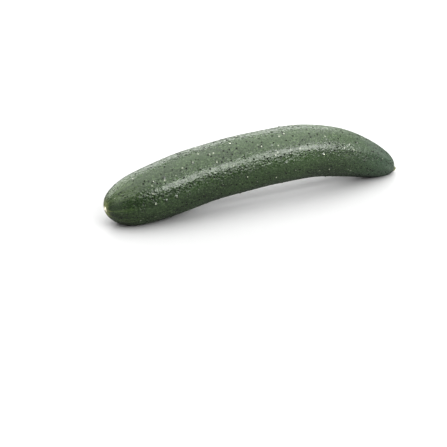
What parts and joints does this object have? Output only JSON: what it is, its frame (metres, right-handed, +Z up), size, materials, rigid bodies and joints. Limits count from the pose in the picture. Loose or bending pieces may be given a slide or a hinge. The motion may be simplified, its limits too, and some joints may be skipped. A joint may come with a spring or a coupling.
{
  "type": "cucumber",
  "caption": "Whole slicing cucumber, gently arched, with a blunt blossom end, a tapered stem end with a stub of the stalk, and small scattered warts.",
  "frame": {"origin": "on the floor, under the middle of the cucumber's bounding box", "axes": "+X along the cucumber from the blossom end to the stem end, +Y across it, +Z up as it lies"},
  "size_m": [0.264, 0.0466, 0.0566],
  "materials": {
    "cucumber_skin": "waxy dark green skin with fine pebbling, pale wart tips and yellowish streaks at the blossom end"
  },
  "bodies": {
    "root": {"cucumber": "cucumber_skin"}
  },
  "joints": []
}
